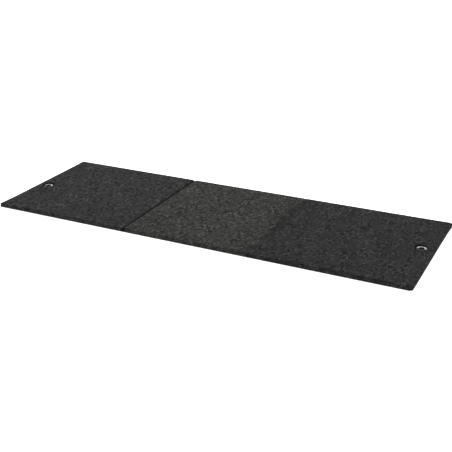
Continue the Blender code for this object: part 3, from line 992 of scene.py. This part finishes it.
def make_covers():
    """The top felt: one piece on the left panel, and one that runs on over the top-hinged fold."""
    left = felt_cover("left_cover", LOW_X, LEFT_FOLD_X - HALF_GAP, (LEFT_END_CORNER, FOLD_CORNER))
    finished(left, top_felt, "top_felt", "left_top_cover")
    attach(left, "left_panel")
    offsets = [share * HALF_GAP for share in (-1.0, -0.5, 0.0, 0.5, 1.0)]
    offsets += [side * reach for side in (-1, 1) for reach in VALLEY_STATIONS]
    right = felt_cover(
        "middle_and_right_cover",
        LEFT_FOLD_X + HALF_GAP,
        HIGH_X,
        (FOLD_CORNER, RIGHT_END_CORNER),
        extra=[RIGHT_FOLD_X + offset for offset in sorted(offsets)],
        slit_x=RIGHT_FOLD_X,
    )
    finished(right, top_felt, "top_felt", "middle_top_cover", "right_top_cover")
    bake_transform(right)


def make_undersides():
    """The felt underneath: one piece that runs over the bottom-hinged fold, and one on the right panel."""
    left = felt_underside("left_and_middle_underside", LOW_X + UNDER_INSET, RIGHT_FOLD_X - HALF_GAP)
    finished(left, under_felt, "under_felt", "left_underside", "middle_underside")
    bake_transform(left)
    right = felt_underside("right_underside_felt", HIGH_X - UNDER_INSET, RIGHT_FOLD_X + HALF_GAP)
    finished(right, under_felt, "under_felt", "right_underside")
    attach(right, "right_panel")


def make_foam():
    """One padded core for each panel."""
    panels = {
        "left": (LOW_X, LEFT_FOLD_X - HALF_GAP, (LEFT_END_CORNER, FOLD_CORNER)),
        "middle": (LEFT_FOLD_X + HALF_GAP, RIGHT_FOLD_X - HALF_GAP, (FOLD_CORNER, FOLD_CORNER)),
        "right": (RIGHT_FOLD_X + HALF_GAP, HIGH_X, (FOLD_CORNER, RIGHT_END_CORNER)),
    }
    for panel, (low, high, radii) in panels.items():
        pad = foam_pad(f"{panel}_foam", low, high, radii)
        finished(pad, foam, "foam", f"{panel}_foam_core")
        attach(pad, f"{panel}_panel")


def make_tapes():
    """The woven hinge tapes, one across each fold between two panels."""
    low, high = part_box("left_fold_strip")
    thickness, middle = high.z - low.z, (low.z + high.z) / 2

    def under_felt_level(x, y):
        """Midway through a tape that lies close under the top felt."""
        return open_level(x, y) - FELT - CLEAR - thickness / 2

    lower = hinge_tape("left_fold_strip", LEFT_FOLD_X, lambda x, y: np.full_like(x, middle), thickness)
    upper = hinge_tape("right_fold_strip", RIGHT_FOLD_X, under_felt_level, thickness)
    fold_pairs = (
        (lower, LEFT_FOLD_X, "left_panel", "middle_panel", ["left_foam", "middle_foam"]),
        (upper, RIGHT_FOLD_X, "middle_panel", "right_panel", ["middle_foam", "right_foam"]),
    )
    for item, x, before, after, rests in fold_pairs:
        finished(item, webbing, "webbing", item.name.replace("_tape", ""))
        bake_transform(item)


def make_eyelets():
    """The metal pieces, and the woven look of the patches, which keep their CAD shape."""
    for side in EYELETS:
        ring = eyelet_ring(f"{side}_eyelet_ring", side)
        washer = washer_ring(f"{side}_washer_ring", side)
        finished(ring, metal, "eyelet_metal", f"{side}_eyelet")
        finished(washer, metal, "eyelet_metal", f"{side}_eyelet_washer")
        for item in (ring, washer):
            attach(item, f"{side}_panel")
        patch = frame["nodes"][f"{side}_eyelet_patch"]
        for slot in patch.material_slots:
            slot.material = webbing


# ---------------------------------------------------------------- floor, lights and camera


def make_floor():
    """A wide floor, just below the mat."""
    shape = Shape()
    side = FLOOR_SIDE
    corners = shape.add([(-side, -side, 0), (side, -side, 0), (side, side, 0), (-side, side, 0)])
    shape.faces.append(tuple(corners))
    floor = shape.make("studio_floor", smooth=False)
    floor.location.z = -FLOOR_DROP
    floor.data.materials.append(floor_finish("studio_floor"))


def make_lights():
    """A soft sun from above, and surroundings that are brighter low down behind the mat than in front."""
    world = bpy.data.worlds.new("studio")
    world.use_nodes = True
    tree = world.node_tree
    split = tree.nodes.new("ShaderNodeSeparateXYZ")
    tree.links.new(tree.nodes.new("ShaderNodeTexCoord").outputs["Generated"], split.inputs[0])
    spans = []
    for axis, limits in (("Y", (-0.3, 0.9, FRONT_GLOW, BACK_GLOW)), ("Z", (0.0, 0.9, 1.0, HIGH_GLOW))):
        span = tree.nodes.new("ShaderNodeMapRange")
        for key, number in zip(("From Min", "From Max", "To Min", "To Max"), limits):
            span.inputs[key].default_value = number
        tree.links.new(split.outputs[axis], span.inputs["Value"])
        spans.append(span.outputs["Result"])
    strength = tree.nodes.new("ShaderNodeMath")
    strength.operation = "MULTIPLY"
    for socket, value in zip(strength.inputs, spans):
        tree.links.new(value, socket)
    background = tree.nodes["Background"]
    background.inputs["Color"].default_value = (1.0, 1.0, 1.0, 1.0)
    tree.links.new(strength.outputs[0], background.inputs["Strength"])
    bpy.context.scene.world = world

    light = bpy.data.lights.new("overhead", "SUN")
    light.energy, light.angle = SUN_STRENGTH, SUN_WIDTH
    item = bpy.data.objects.new("overhead", light)
    item.rotation_mode = "QUATERNION"
    item.rotation_quaternion = Vector(SUN_FROM).to_track_quat("Z", "Y")
    item.visible_glossy = False
    bpy.context.scene.collection.objects.link(item)


def make_camera():
    """A camera placed by where it looks, its azimuth, elevation, distance and roll."""
    data = bpy.data.cameras.new("camera")
    data.sensor_width = SENSOR
    data.lens = LENS
    data.clip_start, data.clip_end = 0.05, 100.0
    camera = bpy.data.objects.new("camera", data)
    flat = math.cos(ELEVATION)
    back = Vector((math.sin(AZIMUTH) * flat, -math.cos(AZIMUTH) * flat, math.sin(ELEVATION)))
    right = Vector((math.cos(AZIMUTH), math.sin(AZIMUTH), 0.0))
    up = back.cross(right)
    rolled_right = math.cos(ROLL) * right + math.sin(ROLL) * up
    rolled_up = back.cross(rolled_right)
    turn = Matrix((rolled_right, rolled_up, back)).transposed().to_4x4()
    camera.matrix_world = Matrix.Translation(LOOK_AT + back * DISTANCE) @ turn
    bpy.context.scene.collection.objects.link(camera)
    bpy.context.scene.camera = camera


make_camera()
make_lights()
make_floor()
make_covers()
make_undersides()
make_foam()
make_tapes()
make_eyelets()
bpy.context.scene.view_settings.view_transform = "Standard"
